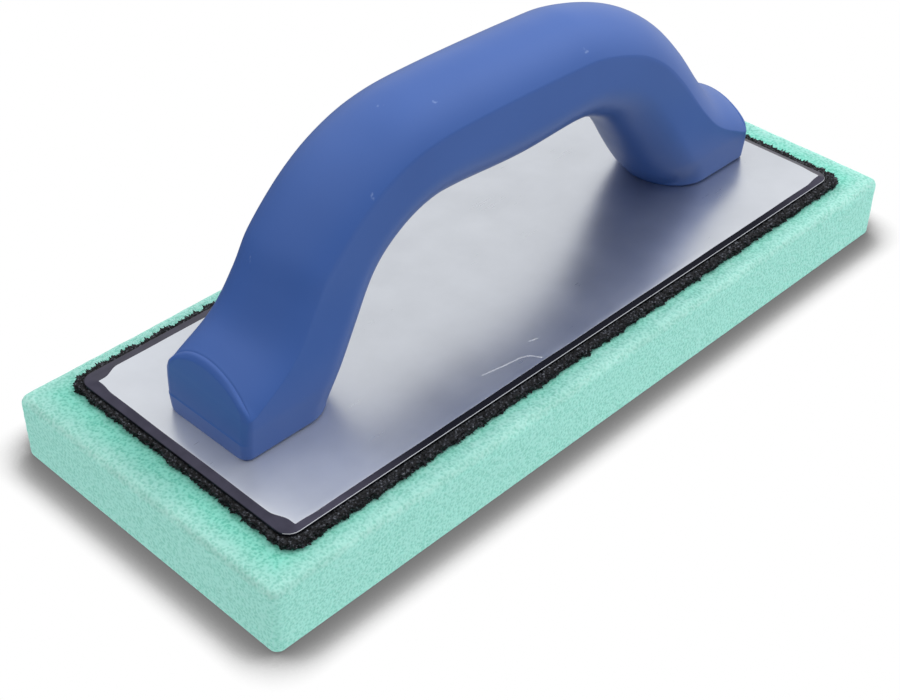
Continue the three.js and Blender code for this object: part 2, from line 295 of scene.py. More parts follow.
# ---- materials ----
def polypropylene_moulded():
    """Moulded polypropylene: satin, slightly waxy, with pale rubs where it has been handled."""
    made, tree, shader, place = new_material("moulded_polypropylene_blue")
    drift = node(tree, "ShaderNodeTexNoise", {"Vector": place, "Scale": per_mm(38), "Detail": 2.0})
    blues = [(0.35, linear("#33589E")), (0.65, linear("#375CA3"))]
    colour = node(tree, "ShaderNodeValToRGB", {"Fac": drift.outputs["Fac"]}, blues).outputs["Color"]
    # Rubs: short pale ticks, a few together at each place in RUBS.
    gaps = [
        node(tree, "ShaderNodeVectorMath", {0: place, 1: rub * MM}, operation="DISTANCE").outputs["Value"]
        for rub in RUBS
    ]
    fade = {"Value": least(tree, gaps), "From Min": RUB_FADE[1] * MM, "From Max": RUB_FADE[0] * MM}
    close = node(tree, "ShaderNodeMapRange", fade).outputs["Result"]
    stretch = {"Vector": place, "Rotation": (0.3, 0.5, 0.2), "Scale": (0.5, 1.0, 0.35)}
    drawn_out = node(tree, "ShaderNodeMapping", stretch).outputs["Vector"]
    tick = node(tree, "ShaderNodeTexNoise", {"Vector": drawn_out, "Scale": per_mm(0.9), "Detail": 2.0})
    where = node(tree, "ShaderNodeMath", {0: close, 1: tick.outputs["Fac"]}, operation="MULTIPLY")
    rub_stops = [(0.5, grey(0.0)), (0.62, grey(0.32))]
    rubbed = node(tree, "ShaderNodeValToRGB", {"Fac": where.outputs[0]}, rub_stops).outputs["Color"]
    pale = {"Factor": rubbed, "A": colour, "B": linear("#9DB2DC")}
    worn = node(tree, "ShaderNodeMix", pale, data_type="RGBA")
    tree.links.new(worn.outputs["Result"], shader.inputs["Base Color"])
    finish = node(tree, "ShaderNodeTexNoise", {"Vector": place, "Scale": per_mm(9), "Detail": 3.0})
    gloss = node(tree, "ShaderNodeMapRange", {"Value": finish.outputs["Fac"], "To Min": 0.34, "To Max": 0.42})
    tree.links.new(gloss.outputs["Result"], shader.inputs["Roughness"])
    skin = node(tree, "ShaderNodeTexNoise", {"Vector": place, "Scale": per_mm(0.7), "Detail": 2.0})
    bump = node(tree, "ShaderNodeBump", {"Height": skin.outputs["Fac"], "Strength": 0.1, "Distance": 0.04 * MM})
    tree.links.new(bump.outputs["Normal"], shader.inputs["Normal"])
    shader.inputs["IOR"].default_value = 1.49
    return made


def scratch_gap(tree, place, start, end):
    """The distance from a point of the plate to a straight length of scratch."""
    first, last = (Vector((x, y, plate_top)) * MM for x, y in (start, end))
    run = last - first
    along = node(tree, "ShaderNodeVectorMath", {0: place, 1: first}, operation="SUBTRACT").outputs["Vector"]
    share = node(
        tree, "ShaderNodeVectorMath", {0: along, 1: run / run.length_squared}, operation="DOT_PRODUCT"
    )
    held = node(tree, "ShaderNodeClamp", {"Value": share.outputs["Value"]}).outputs["Result"]
    foot = node(tree, "ShaderNodeVectorMath", {0: run, "Scale": held}, operation="SCALE")
    gap = node(tree, "ShaderNodeVectorMath", {0: along, 1: foot.outputs["Vector"]}, operation="DISTANCE")
    return gap.outputs["Value"]


def aluminium_rolled():
    """Rolled aluminium sheet: a satin mirror, with faint grain along its length, smudges and scratches."""
    made, tree, shader, place = new_material("rolled_aluminium_satin")
    long_place = node(tree, "ShaderNodeMapping", {"Vector": place, "Scale": (0.04, 1.0, 1.0)})
    grain = node(
        tree,
        "ShaderNodeTexNoise",
        {"Vector": long_place.outputs["Vector"], "Scale": per_mm(0.5), "Detail": 2.0},
    )
    smudge = node(tree, "ShaderNodeTexNoise", {"Vector": place, "Scale": per_mm(14), "Detail": 4.0})
    greys = [(0.3, linear("#CFD3DA")), (0.7, linear("#D7DBE2"))]
    colour = node(tree, "ShaderNodeValToRGB", {"Fac": smudge.outputs["Fac"]}, greys)
    tree.links.new(colour.outputs["Color"], shader.inputs["Base Color"])
    # The scratches wander a little and are paler than the sheet, because they scatter the light.
    drift = node(tree, "ShaderNodeTexNoise", {"Vector": place, "Scale": per_mm(2.5)})
    wander = {0: drift.outputs["Color"], 1: (0.5 * MM, 0.5 * MM, 0.0), 2: place}
    shaken = node(tree, "ShaderNodeVectorMath", wander, operation="MULTIPLY_ADD").outputs["Vector"]
    gaps = [scratch_gap(tree, shaken, start, end) for line in SCRATCHES for start, end in zip(line, line[1:])]
    fade = {"Value": least(tree, gaps), "From Min": SCRATCH_FADE[1] * MM, "From Max": SCRATCH_FADE[0] * MM}
    scratch = node(tree, "ShaderNodeMapRange", fade).outputs["Result"]
    both = node(tree, "ShaderNodeMath", {0: grain.outputs["Fac"], 1: smudge.outputs["Fac"]}, operation="ADD")
    gloss = node(
        tree,
        "ShaderNodeMapRange",
        {"Value": both.outputs[0], "From Min": 0.6, "From Max": 1.4, "To Min": 0.27, "To Max": 0.33},
    )
    scratch_gloss = {0: scratch, 1: 0.3, 2: gloss.outputs["Result"]}
    rough = node(tree, "ShaderNodeMath", scratch_gloss, operation="MULTIPLY_ADD")
    tree.links.new(rough.outputs[0], shader.inputs["Roughness"])
    # The sheet is a little less than fully metallic, and much less towards its -X end: painted light, as the
    # diffuse share lightens that end.
    axes = node(tree, "ShaderNodeSeparateXYZ", {"Vector": place})
    bloom = {
        "Value": axes.outputs["X"],
        "From Min": NEAR_END_PAINTED_LIGHT["from"] * MM,
        "From Max": NEAR_END_PAINTED_LIGHT["to"] * MM,
        "To Min": 0.66,
        "To Max": 0.94,
    }
    painted_light_metal = node(tree, "ShaderNodeMapRange", bloom, interpolation_type="SMOOTHSTEP").outputs["Result"]
    metal = node(tree, "ShaderNodeMath", {0: scratch, 1: -0.3, 2: painted_light_metal}, operation="MULTIPLY_ADD")
    tree.links.new(metal.outputs[0], shader.inputs["Metallic"])
    wave = node(tree, "ShaderNodeTexNoise", {"Vector": place, "Scale": per_mm(7), "Detail": 1.0})
    bump = node(tree, "ShaderNodeBump", {"Height": wave.outputs["Fac"], "Strength": 0.1, "Distance": 0.03 * MM})
    tree.links.new(bump.outputs["Normal"], shader.inputs["Normal"])
    return made


def aluminium_rim():
    """The turned-down edge: the same sheet coloured dark slate, with a painted dark reflection deepest across
    the middle of the -Y side.
    """
    made, tree, shader, place = new_material("rolled_aluminium_darkened_rim")
    stain = node(tree, "ShaderNodeTexNoise", {"Vector": place, "Scale": per_mm(5), "Detail": 3.0})
    slates = [(0.3, linear("#474654")), (0.7, linear("#525060"))]
    colour = node(tree, "ShaderNodeValToRGB", {"Fac": stain.outputs["Fac"]}, slates).outputs["Color"]
    axes = node(tree, "ShaderNodeSeparateXYZ", {"Vector": place})
    near = {"Value": axes.outputs["Y"], "From Min": PAINTED_REFLECTION_ZONE["side"][0] * MM, "From Max": PAINTED_REFLECTION_ZONE["side"][1] * MM}
    near_side = node(tree, "ShaderNodeMapRange", near).outputs["Result"]
    off_middle = node(
        tree, "ShaderNodeMath", {0: axes.outputs["X"], 1: PAINTED_REFLECTION_ZONE["middle"] * MM}, operation="SUBTRACT"
    )
    from_middle = node(tree, "ShaderNodeMath", {0: off_middle.outputs[0]}, operation="ABSOLUTE")
    reach = {
        "Value": from_middle.outputs[0],
        "From Min": PAINTED_REFLECTION_ZONE["reach"][1] * MM,
        "From Max": PAINTED_REFLECTION_ZONE["reach"][0] * MM,
    }
    middle = node(tree, "ShaderNodeMapRange", reach, interpolation_type="SMOOTHSTEP").outputs["Result"]
    # Painted dark reflection: the rim is coloured darker across the middle of its -Y side.
    painted_dark_reflection = node(tree, "ShaderNodeMath", {0: near_side, 1: middle}, operation="MULTIPLY")
    darker = {"Factor": painted_dark_reflection.outputs[0], "A": colour, "B": linear("#1E1F28")}
    dark = node(tree, "ShaderNodeMix", darker, data_type="RGBA")
    tree.links.new(dark.outputs["Result"], shader.inputs["Base Color"])
    shader.inputs["Metallic"].default_value = 1.0
    shader.inputs["Roughness"].default_value = 0.34
    return made


def foam_pad_green():
    """Open-cell polyurethane foam: matt, with small pores of painted shade, paled towards its cut edges by a
    painted highlight, and its sides coloured lighter as painted light.
    """
    made, tree, shader, place = new_material("polyurethane_foam_sea_green")
    # How far a point lies in from the nearest side face.
    apart = node(tree, "ShaderNodeVectorMath", {0: place}, operation="ABSOLUTE")
    half = (pad_high - pad_low) / 2 * MM
    inwards = node(tree, "ShaderNodeVectorMath", {0: half, 1: apart.outputs["Vector"]}, operation="SUBTRACT")
    axes = node(tree, "ShaderNodeSeparateXYZ", {"Vector": inwards.outputs["Vector"]})
    nearest = least(tree, [axes.outputs["X"], axes.outputs["Y"]])
    cloud = node(tree, "ShaderNodeTexNoise", {"Vector": place, "Scale": per_mm(9), "Detail": 4.0})
    uneven = {0: cloud.outputs["Fac"], 1: 5 * MM, 2: nearest}
    wander = node(tree, "ShaderNodeMath", uneven, operation="MULTIPLY_ADD")
    share = node(
        tree,
        "ShaderNodeMapRange",
        {"Value": wander.outputs[0], "From Min": PAINTED_PAD_LIGHT["from"] * MM, "From Max": PAINTED_PAD_LIGHT["to"] * MM},
    ).outputs["Result"]
    # Painted highlight: the colour pales towards the cut edges, where the soft ridge catches the light.
    greens = [
        (0.0, linear("#B4E9DF")),
        (0.16, linear("#A5D6CC")),
        (0.5, linear("#95CBC0")),
        (1.0, linear("#80CABA")),
    ]
    face = node(tree, "ShaderNodeValToRGB", {"Fac": share}, greens).outputs["Color"]
    rise = {
        "Value": node(tree, "ShaderNodeSeparateXYZ", {"Vector": place}).outputs["Z"],
        "From Min": (pad_high.z - PAINTED_PAD_LIGHT["edge"][0]) * MM,
        "From Max": (pad_high.z - PAINTED_PAD_LIGHT["edge"][1]) * MM,
    }
    on_top = node(tree, "ShaderNodeMapRange", rise, interpolation_type="SMOOTHSTEP").outputs["Result"]
    # Painted light: the sides are coloured lighter than the top, standing in for the light the paper throws up
    # onto them.
    sides = {"Factor": on_top, "A": linear("#ABECE0"), "B": face}
    painted_light_colour = node(tree, "ShaderNodeMix", sides, data_type="RGBA").outputs["Result"]
    # Pores: soft spots of painted shade, of uneven depth, fainter on the cut sides than in the middle of the
    # top.
    cells = node(tree, "ShaderNodeTexVoronoi", {"Vector": place, "Scale": per_mm(0.85)})
    grain = node(tree, "ShaderNodeTexNoise", {"Vector": place, "Scale": per_mm(0.8), "Detail": 2.0})
    uneven_cells = {0: cells.outputs["Distance"], 1: 0.7, 2: grain.outputs["Fac"]}
    depth = node(tree, "ShaderNodeMath", uneven_cells, operation="MULTIPLY_ADD").outputs[0]
    pore_stops = [(0.6, grey(1.0)), (0.98, grey(0.0))]
    pore = node(tree, "ShaderNodeValToRGB", {"Fac": depth}, pore_stops).outputs["Color"]
    strength = node(tree, "ShaderNodeMapRange", {"Value": share, "To Min": 0.4, "To Max": 0.72})
    painted_pore_shade = node(
        tree, "ShaderNodeMath", {0: pore, 1: strength.outputs["Result"]}, operation="MULTIPLY"
    ).outputs[0]
    shaded = {"Factor": painted_pore_shade, "A": painted_light_colour, "B": linear("#9ED0C4")}
    colour = node(tree, "ShaderNodeMix", shaded, data_type="RGBA", blend_type="MULTIPLY")
    tree.links.new(colour.outputs["Result"], shader.inputs["Base Color"])
    bump = node(tree, "ShaderNodeBump", {"Height": depth, "Strength": 0.45, "Distance": 0.35 * MM})
    tree.links.new(bump.outputs["Normal"], shader.inputs["Normal"])
    shader.inputs["Roughness"].default_value = 0.95
    shader.inputs["Specular IOR Level"].default_value = 0.15
    shader.inputs["Subsurface Weight"].default_value = 0.25
    shader.inputs["Subsurface Radius"].default_value = (0.6, 1.0, 0.9)
    shader.inputs["Subsurface Scale"].default_value = 1.5 * MM
    return made


def foam_backing_black():
    """Coarse reticulated foam: near-black struts round open cells, a few with painted glints where they catch
    the light.
    """
    made, tree, shader, place = new_material("reticulated_foam_black")
    cells = node(
        tree, "ShaderNodeTexVoronoi", {"Vector": place, "Scale": per_mm(0.75)}, feature="DISTANCE_TO_EDGE"
    )
    painted_glints = node(tree, "ShaderNodeTexNoise", {"Vector": place, "Scale": per_mm(0.7), "Detail": 2.0})
    # Painted highlights: the paler greys of this ramp are glints on the struts.
    blacks = [
        (0.42, linear("#08090C")),
        (0.55, linear("#191B20")),
        (0.65, linear("#464951")),
        (0.76, linear("#777A82")),
    ]
    colour = node(tree, "ShaderNodeValToRGB", {"Fac": painted_glints.outputs["Fac"]}, blacks)
    tree.links.new(colour.outputs["Color"], shader.inputs["Base Color"])
    relief = {"Height": cells.outputs["Distance"], "Strength": 0.8, "Distance": 0.3 * MM}
    bump = node(tree, "ShaderNodeBump", relief)
    tree.links.new(bump.outputs["Normal"], shader.inputs["Normal"])
    shader.inputs["Roughness"].default_value = 0.7
    return made


def adhesive_dried():
    """Sprayed contact adhesive: an amber skin with a pebbled surface."""
    made, tree, shader, place = new_material("contact_adhesive_dried")
    drops = node(tree, "ShaderNodeTexVoronoi", {"Vector": place, "Scale": per_mm(2.2)})
    ambers = [(0.0, linear("#B9A468")), (0.8, linear("#D8CBA0"))]
    colour = node(tree, "ShaderNodeValToRGB", {"Fac": drops.outputs["Distance"]}, ambers)
    tree.links.new(colour.outputs["Color"], shader.inputs["Base Color"])
    relief = {"Height": drops.outputs["Distance"], "Strength": 0.5, "Distance": 0.1 * MM}
    bump = node(tree, "ShaderNodeBump", relief)
    tree.links.new(bump.outputs["Normal"], shader.inputs["Normal"])
    shader.inputs["Roughness"].default_value = 0.45
    return made


def steel_zinc_plated():
    """Zinc-plated steel: bright, with a fine bluish bloom."""
    made, tree, shader, place = new_material("zinc_plated_steel")
    bloom = node(tree, "ShaderNodeTexNoise", {"Vector": place, "Scale": per_mm(1.5), "Detail": 3.0})
    steels = [(0.35, linear("#C2C7CC")), (0.65, linear("#D6D8D6"))]
    colour = node(tree, "ShaderNodeValToRGB", {"Fac": bloom.outputs["Fac"]}, steels)
    tree.links.new(colour.outputs["Color"], shader.inputs["Base Color"])
    gloss = node(tree, "ShaderNodeMapRange", {"Value": bloom.outputs["Fac"], "To Min": 0.2, "To Max": 0.36})
    tree.links.new(gloss.outputs["Result"], shader.inputs["Roughness"])
    shader.inputs["Metallic"].default_value = 1.0
    return made


# ---- foam pad ----
LONG_EDGE = 0.6  # share of the pad's size past which an edge runs from end to end


def cut_along(piece, axis, step):
    """Divides every long edge parallel to axis into pieces of about step."""
    size = (pad_high - pad_low)[axis] * MM
    for edge in piece.data.edges:
        a, b = (piece.data.vertices[i].co for i in edge.vertices)
        edge.select = abs((a - b)[axis]) > LONG_EDGE * size
    bpy.ops.object.mode_set(mode="EDIT")
    bpy.ops.mesh.subdivide(number_cuts=int(size / (step * MM)))
    bpy.ops.object.mode_set(mode="OBJECT")


def deselect_mesh(piece):
    for part in (piece.data.vertices, piece.data.edges, piece.data.polygons):
        for one in part:
            one.select = False


def bevel_where(piece, wanted, width, segments):
    """Rounds the edges whose two ends pass the test wanted."""
    deselect_mesh(piece)
    for edge in piece.data.edges:
        edge.select = wanted(*(piece.data.vertices[i].co / MM for i in edge.vertices))
    bpy.ops.object.mode_set(mode="EDIT")
    bpy.ops.mesh.bevel(offset=width * MM, segments=segments, affect="EDGES")
    bpy.ops.object.mode_set(mode="OBJECT")


def make_pad(material):
    """The foam block: a box with its edges eased, then pressed and torn by small vertex moves."""
    bpy.ops.object.select_all(action="DESELECT")
    size = pad_high - pad_low
    middle = (pad_high + pad_low) / 2
    bpy.ops.mesh.primitive_cube_add(size=1, location=middle * MM, scale=size * MM)
    pad = bpy.context.active_object
    pad.name = "foam_pad_cut"
    bpy.ops.object.transform_apply(location=True, rotation=True, scale=True)
    bpy.ops.object.mode_set(mode="EDIT")
    bpy.ops.mesh.select_mode(type="EDGE")
    bpy.ops.object.mode_set(mode="OBJECT")
    upper, lower = pad_high.z - PAD["corner_zone"], pad_low.z + PAD["corner_zone"]
    bevel_where(pad, lambda a, b: max(a.z, b.z) > upper, PAD["edge"], 5)
    bevel_where(pad, lambda a, b: max(a.z, b.z) < lower, PAD["foot_edge"], 3)
    for axis in range(3):
        deselect_mesh(pad)
        cut_along(pad, axis, PAD["step"])
    bpy.ops.object.mode_set(mode="EDIT")
    bpy.ops.mesh.select_mode(type="VERT")
    bpy.ops.object.mode_set(mode="OBJECT")
    normals = [vertex.normal.copy() for vertex in pad.data.vertices]
    for vertex, normal in zip(pad.data.vertices, normals):
        point = vertex.co / MM
        off_floor = smooth(*PAD["flat_foot"], point.z)
        wave = PAD["wave"] * noise.noise(point / PAD["wave_length"]) * (1 - abs(normal.z))
        pore = PAD["pore"] * noise.noise(point / PAD["pore_length"])
        vertex.co += normal * (wave * off_floor + pore * off_floor - PAD["pore"] * 0.5) * MM
    only(pad)
    bpy.ops.object.shade_smooth()
    place_piece(pad, material, "foam_pad")


# ---- black backing foam ----
def rounded_outline(low, high, radius, step):
    """Points every step round a rectangle with rounded corners, as (point, outward direction)."""
    inner_low = low + Vector((radius, radius))
    inner_high = high - Vector((radius, radius))
    corners = [
        (Vector((inner_high.x, inner_low.y)), -90),
        (inner_high, 0),
        (Vector((inner_low.x, inner_high.y)), 90),
        (inner_low, 180),
    ]
    made = []
    for i, (centre, start) in enumerate(corners):
        turns = max(int(radius * math.pi / 2 / step), 4)
        for k in range(turns + 1):
            angle = math.radians(start + 90 * k / turns)
            out = Vector((math.cos(angle), math.sin(angle)))
            made.append((centre + out * radius, out))
        out = made[-1][1]
        first = made[-1][0]
        last = corners[(i + 1) % 4][0] + out * radius
        count = max(int((last - first).length / step), 1)
        for k in range(1, count):
            made.append((first.lerp(last, k / count), out))
    return made


def make_backing(material):
    """The layer under the plate: its torn rim is a fine band of cells and struts, moved vertex by vertex."""
    low = Vector((foam_low.x, foam_low.y))
    high = Vector((foam_high.x, foam_high.y))
    outline = rounded_outline(low, high, BACKING["corner"], BACKING["step"])
    height = foam_high.z - foam_low.z
    # From under the plate, out over the top, down the torn edge and back in underneath.
    cover, step, sink = BACKING["cover"], BACKING["step"], BACKING["sink"]
    top_steps = int(cover / step)
    side_steps = int(height / step)
    under_steps = 4
    profile = [(-cover + step * k, foam_high.z - sink) for k in range(top_steps)]
    profile += [(0.0, foam_high.z - sink - (height - sink) * k / side_steps) for k in range(side_steps + 1)]
    profile += [(-cover * k / under_steps, foam_low.z) for k in range(1, under_steps + 1)]
    cover_fade, side_fade = BACKING["fade"]
    long_tear, short_tear = BACKING["ragged_lengths"]
    draw = random.Random(7)
    points = []
    for inward, z in profile:
        for place, out in outline:
            flat = place + out * inward
            point = Vector((flat.x, flat.y, z))
            away = Vector((out.x, out.y, 0))
            near_edge = smooth(-cover, -cover + cover_fade, inward)
            cell = noise.voronoi(point / BACKING["cell"])[0]
            pit = smooth(0.05, 0.5, cell[1] - cell[0]) * BACKING["pit"]
            torn = noise.noise(point / long_tear) + 0.7 * noise.noise(point / short_tear)
            torn *= BACKING["ragged"]
            tooth = BACKING["tooth"] * draw.random() if draw.random() < BACKING["tooth_share"] else 0.0
            on_side = smooth(-side_fade, 0.0, inward)
            lift = 1.0 if z > foam_low.z + 0.1 else 0.0  # the underside stays flat on the pad
            # The tears, struts and pits show most on the side, and less on the strip of top past the plate.
            point += away * (torn - 0.4 * pit + 0.8 * tooth - BACKING["inset"]) * on_side
            point += Vector((0, 0, 1)) * (0.35 * torn + 0.25 * tooth - 0.6 * pit + 0.3) * near_edge * lift
            points.append(point)
    count = len(outline)
    faces = band_faces(len(profile), count)
    faces.append(tuple(range(count)))
    faces.append(tuple(reversed(range((len(profile) - 1) * count, len(profile) * count))))
    backing = mesh_piece("backing_foam_torn", points, faces, 60)
    place_piece(backing, material, "backing_foam")


# ---- aluminium plate ----
def bend_line(place, out):
    """The point of the bend line that belongs to a point of the plate's outline."""
    centre = (plate_high + plate_low) / 2 + PLATE["shift"]
    half = (plate_high - plate_low) / 2
    side_x = 1 if place.x > centre.x else -1
    side_y = 1 if place.y > centre.y else -1
    rim_side = PLATE["rim_near"] if side_y < 0 else PLATE["rim_far"]
    corner = Vector((half.x - PLATE["rim_end"], half.y - rim_side))
    pulled_long, pulled_short = PULLED_IN[(side_x, side_y)]
    # Round a corner of the outline the point runs back to the corner of the bend line, then on.
    turn = math.degrees(math.atan2(abs(out.x), abs(out.y)))
    if turn < 45:
        straight = corner.x - min(abs(place.x - centre.x), half.x - PLATE["corner"])
        along = straight * (1 - turn / 45)
        far = pulled_short * (1 - min(along / PLATE["pull_reach"], 1))
        pull = pulled_long * (1 - smooth(*PLATE["pull_edge"], along))
        local = Vector((corner.x - along - far, corner.y - pull))
    else:
        straight = corner.y - min(abs(place.y - centre.y), half.y - PLATE["corner"])
        along = straight * (turn / 45 - 1)
        far = pulled_long * (1 - min(along / PLATE["pull_reach"], 1))
        pull = pulled_short * (1 - smooth(*PLATE["pull_edge"], along))
        local = Vector((corner.x - pull, corner.y - along - far))
    depth, length = PLATE["wander"]
    wander = depth * noise.noise(Vector((place.x / length, place.y / length, 3.7)))
    return Vector((centre.x + side_x * (local.x + wander), centre.y + side_y * (local.y + wander)))


# Rows of faces of the plate: its darkened rim, and the sheared corner that stays bright along the -Y side.
RIM_ROWS = range(2, 9)
SHEARED_CORNER_ROW = 7


def make_plate(sheet, rim):
    """The plate: flat to the bend line, then turned down to a sheared edge."""
    shift = Vector((PLATE["shift"].x, PLATE["shift"].y))
    low = Vector((plate_low.x, plate_low.y)) + shift
    high = Vector((plate_high.x, plate_high.y)) + shift
    outline = rounded_outline(low, high, PLATE["corner"], PLATE["outline_step"])
    bends = [bend_line(place, out) for place, out in outline]
    drop, lip, thick = PLATE["drop"], PLATE["lip"], PLATE["thickness"]
    rings = []

    def ring(share, out_by, z):
        """Points a share of the way from the bend line to the edge, moved outwards by out_by."""
        rings.append(
            [
                Vector((*(bend.lerp(place, share) + out * out_by), z))
                for (place, out), bend in zip(outline, bends)
            ]
        )

    def inner_ring(inward, z):
        """The bend line drawn in towards the middle of the plate."""
        middle = (low + high) / 2
        share = [1 - inward / ((high - low)[k] / 2) for k in range(2)]
        flats = [Vector(((b.x - middle.x) * share[0], (b.y - middle.y) * share[1])) + middle for b in bends]
        rings.append([Vector((flat.x, flat.y, z)) for flat in flats])

    # From the flat, over the bend and down the rim, round its sheared edge and back in underneath.
    inner_ring(2.0, plate_top)
    inner_ring(0.25, plate_top)
    inner_ring(0.08, plate_top - 0.01)
    ring(0.06, 0.0, plate_top - 0.08 * drop)
    ring(0.2, 0.0, plate_top - 0.3 * drop)
    ring(0.6, 0.0, plate_top - 0.72 * drop)
    ring(1.0, -0.25, plate_top - 0.97 * drop)
    ring(1.0, -0.12, plate_top - drop - 0.02)
    ring(1.0, 0.0, plate_top - drop - lip * 0.8)
    ring(1.0, 0.0, plate_top - drop - thick + lip)
    ring(1.0, -lip, plate_top - drop - thick + 0.02)
    ring(0.1, 0.0, plate_top - thick - 0.25 * drop)
    inner_ring(0.6, plate_top - thick)
    count = len(outline)
    points = [point for one in rings for point in one]
    faces = band_faces(len(rings), count)
    faces.append(tuple(range(count)))
    faces.append(tuple(reversed(range((len(rings) - 1) * count, len(rings) * count))))
    plate = mesh_piece("backing_plate_turned", points, faces, 50)
    place_piece(plate, [sheet, rim], "backing_plate")
    for i, face in enumerate(plate.data.polygons):
        row = i // count
        bright_edge = row == SHEARED_CORNER_ROW and face.normal.y < -0.3
        face.material_index = 1 if row in RIM_ROWS and not bright_edge else 0


# ---- handle ----
class SideLine:
    """A smooth curve in the handle's side view, through points given as (x, z)."""

    def __init__(self, points):
        knots = [Vector((x, 0, z)) for x, z in points]
        last = len(knots) - 1
        fine = 80  # short straight lengths from one point to the next
        self.dense = [
            self.between(k / fine, knots[max(i - 1, 0)], knots[i], knots[i + 1], knots[min(i + 2, last)])
            for i in range(last)
            for k in range(fine)
        ] + [knots[-1]]
        self.run = [0.0]
        for a, b in zip(self.dense, self.dense[1:]):
            self.run.append(self.run[-1] + (b - a).length)
        self.tree = kdtree.KDTree(len(self.dense))
        for i, point in enumerate(self.dense):
            self.tree.insert(point, i)
        self.tree.balance()

    @staticmethod
    def between(t, before, a, b, after):
        """The point a share t of the way along the cubic curve from a to b."""
        leave, arrive = (b - before) / 2, (after - a) / 2
        cubic = (2 * a - 2 * b + leave + arrive) * t**3
        return cubic + (3 * b - 3 * a - 2 * leave - arrive) * t**2 + leave * t + a

    def at(self, share):
        """The point at a share of the curve's length."""
        wanted = min(max(share, 0.0), 1.0) * self.run[-1]
        low, high = 0, len(self.run) - 1
        while high - low > 1:
            half = (low + high) // 2
            low, high = (half, high) if self.run[half] <= wanted else (low, half)
        span = self.run[high] - self.run[low]
        return self.dense[low].lerp(self.dense[high], (wanted - self.run[low]) / span if span else 0.0)

    def gap(self, point):
        """The distance from a point to the curve."""
        index = self.tree.find(point)[1]
        best = (self.dense[index] - point).length
        for a in (index - 1, index):
            if 0 <= a < len(self.dense) - 1:
                foot, share = geometry.intersect_point_line(point, self.dense[a], self.dense[a + 1])
                if 0 <= share <= 1:
                    best = min(best, (foot - point).length)
        return best


top_line = SideLine(TOP_LINE)
hand_line = SideLine(HAND_LINE)


def full_half_width(z):
    """Half the width of the flat sides at a height."""
    narrowing = smooth(HANDLE["foot_top"], HANDLE["grip_start"], z)
    drawn_in = max(HANDLE["foot_top"] - z, 0) / (HANDLE["foot_top"] - plate_top)
    wide = mix(HANDLE["foot_half_width"], HANDLE["grip_half_width"], narrowing)
    return wide - drawn_in * (HANDLE["foot_half_width"] - HANDLE["base_half_width"])


def dome_angle(point):
    """How far round the domed top a point lies: 0 at the top line, crown_sweep at the parting edge."""
    from_top = min(top_line.gap(point) / HANDLE["crown"], 1.0)
    return math.acos(1 - from_top * (1 - math.cos(HANDLE["crown_sweep"])))


def lower_end(t):
    """Where a section meets the underside: on a foot's base or on the hand line."""
    share, half, inner = HANDLE["foot_share"], HANDLE["half"], HANDLE["foot_inner"]
    if t < share:
        return Vector((mix(-half, -inner, t / share), 0, plate_top))
    if t > 1 - share:
        return Vector((mix(half, inner, (1 - t) / share), 0, plate_top))
    return hand_line.at((t - share) / (1 - 2 * share))


DOME_STEPS = 16  # points down one side of a section, from the top line to the parting edge
LOWER_STEPS = 34  # and from there to the underside
FLAT_STEPS = 12  # of those, on the flat side above the rounding on the hand side
DOME_REACH = 0.8  # share of a section's length that the dome never reaches past
# Rows of points close about the witness line, and how near to it the even rows stop, as shares of a section.
WITNESS_ROWS = (-0.03, -0.010, -0.004, 0.004, 0.010, 0.03)
WITNESS_CLEAR = 0.034


def dome_shares(top, bottom):
    """Shares of the way down a section where the dome has turned by even steps, to the parting edge."""
    tries = 90
    gaps = [top_line.gap(top.lerp(bottom, DOME_REACH * k / tries)) for k in range(tries + 1)]
    sweep = HANDLE["crown_sweep"]
    turns = [sweep * k / (DOME_STEPS - 1) for k in range(1, DOME_STEPS - 1)] + [sweep * 0.985, sweep]
    shares = []
    for turn in turns:
        wanted = HANDLE["crown"] * (1 - math.cos(turn)) / (1 - math.cos(sweep))
        k = next((k for k in range(1, tries + 1) if gaps[k] >= wanted), tries)
        part = (wanted - gaps[k - 1]) / max(gaps[k] - gaps[k - 1], 1e-9)
        shares.append(DOME_REACH * (k - 1 + min(max(part, 0.0), 1.0)) / tries)
    return shares


def section_shares(top, bottom, rounded, witness):
    """Places down one section, as shares of its length from the top line."""
    length = (top - bottom).length
    shares = dome_shares(top, bottom)
    dome_share = shares[-1]
    round_share = min(HANDLE["under"] / length, 1 - dome_share)
    base = HANDLE["base_edge"] / length
    # On a foot: even steps, with a few close together at the witness line and at the base.
    close = [witness + row for row in WITNESS_ROWS]
    at_base = [1 - base, 1 - base * 0.3, 1.0]
    plain = LOWER_STEPS - len(close) - len(at_base)
    even = [dome_share + 0.35 / length]
    even += [dome_share + (1 - base * 1.2 - dome_share) * k / plain for k in range(1, plain)]
    even = [row for row in even if abs(row - witness) > WITNESS_CLEAR]
    foot = sorted(even + close + at_base)
    while len(foot) < LOWER_STEPS:
        gaps = [b - a for a, b in zip(foot, foot[1:])]
        widest = gaps.index(max(gaps))
        foot.insert(widest + 1, (foot[widest] + foot[widest + 1]) / 2)
    round_steps = LOWER_STEPS - FLAT_STEPS
    for k in range(LOWER_STEPS):
        if k < FLAT_STEPS:
            hand = mix(dome_share, 1 - round_share, (k + 1) / (FLAT_STEPS + 1))
        else:
            angle = math.pi / 2 * (k - FLAT_STEPS + 0.5) / round_steps
            hand = 1 - round_share * (1 - math.sin(angle))
        shares.append(mix(foot[k], max(hand, dome_share + 0.002 * (k + 1)), rounded))
    return shares


